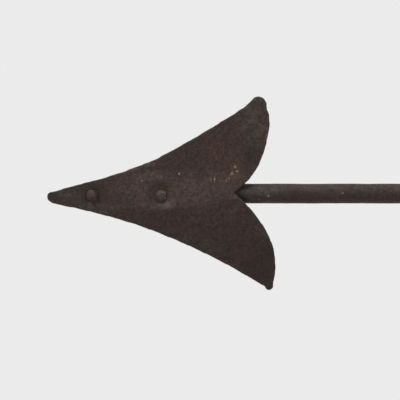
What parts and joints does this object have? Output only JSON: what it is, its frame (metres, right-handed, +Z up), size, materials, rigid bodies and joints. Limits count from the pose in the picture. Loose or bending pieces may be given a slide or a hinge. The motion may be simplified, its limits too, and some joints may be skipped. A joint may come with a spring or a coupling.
{
  "type": "weather vane",
  "caption": "Riveted sheet-iron arrow that turns on a braced iron mast and points into the wind; the flat base plate screws down.",
  "frame": {"origin": "centre of the base plate's underside, on the mast's axis", "axes": "+Z up along the mast; the arrow lies along X and points to -X at rest; the sheet-iron faces with the rivet heads look to -Y"},
  "size_m": [0.7081, 0.18, 0.6093],
  "materials": {
    "wrought_iron": "forged, dark brown weathered patina with fine rust",
    "sheet_iron": "hand-cut sheet, dark brown weathered patina with fine rust",
    "bronze": "dull bearing bronze",
    "bearing_steel": "greased bearing steel"
  },
  "bodies": {
    "stand": {"mast": "wrought_iron", "stop_collar": "wrought_iron", "stop_collar_screw": "wrought_iron", "brace_band": "wrought_iron", "brace_right": "wrought_iron", "brace_back": "wrought_iron", "brace_left": "wrought_iron", "brace_front": "wrought_iron", "brace_screw_right": "wrought_iron", "brace_screw_back": "wrought_iron", "brace_screw_left": "wrought_iron", "brace_screw_front": "wrought_iron", "brace_foot_rivet_right": "wrought_iron", "brace_foot_rivet_back": "wrought_iron", "brace_foot_rivet_left": "wrought_iron", "brace_foot_rivet_front": "wrought_iron", "base_socket": "wrought_iron", "socket_screw_front": "wrought_iron", "socket_screw_back": "wrought_iron", "base_plate": "wrought_iron"},
    "vane": {"arrow_shaft": "wrought_iron", "arrowhead_plate": "sheet_iron", "head_rivet_front": "wrought_iron", "head_rivet_rear": "wrought_iron", "tail_plate": "sheet_iron", "tail_rivet_front": "wrought_iron", "tail_rivet_middle": "wrought_iron", "tail_rivet_rear": "wrought_iron", "hub_tee": "wrought_iron", "hub_bush": "bronze", "finial": "wrought_iron", "shaft_screw_front": "wrought_iron", "shaft_screw_rear": "wrought_iron", "keeper_screw": "wrought_iron"},
    "ball": {"thrust_ball": "bearing_steel"}
  },
  "joints": [
    {"name": "vane_spin", "type": "hinge", "parent": "stand", "child": "vane", "pos_m": [0, 0, 0.52], "axis": [0, 0, 1], "continuous": true},
    {"name": "ball_spin", "type": "hinge", "parent": "stand", "child": "ball", "pos_m": [0, 0, 0.5027], "axis": [0, 0, 1], "continuous": true}
  ],
  "couplings": [
    {"joint": "ball_spin", "follows": "vane_spin", "ratio": 0.5}
  ]
}
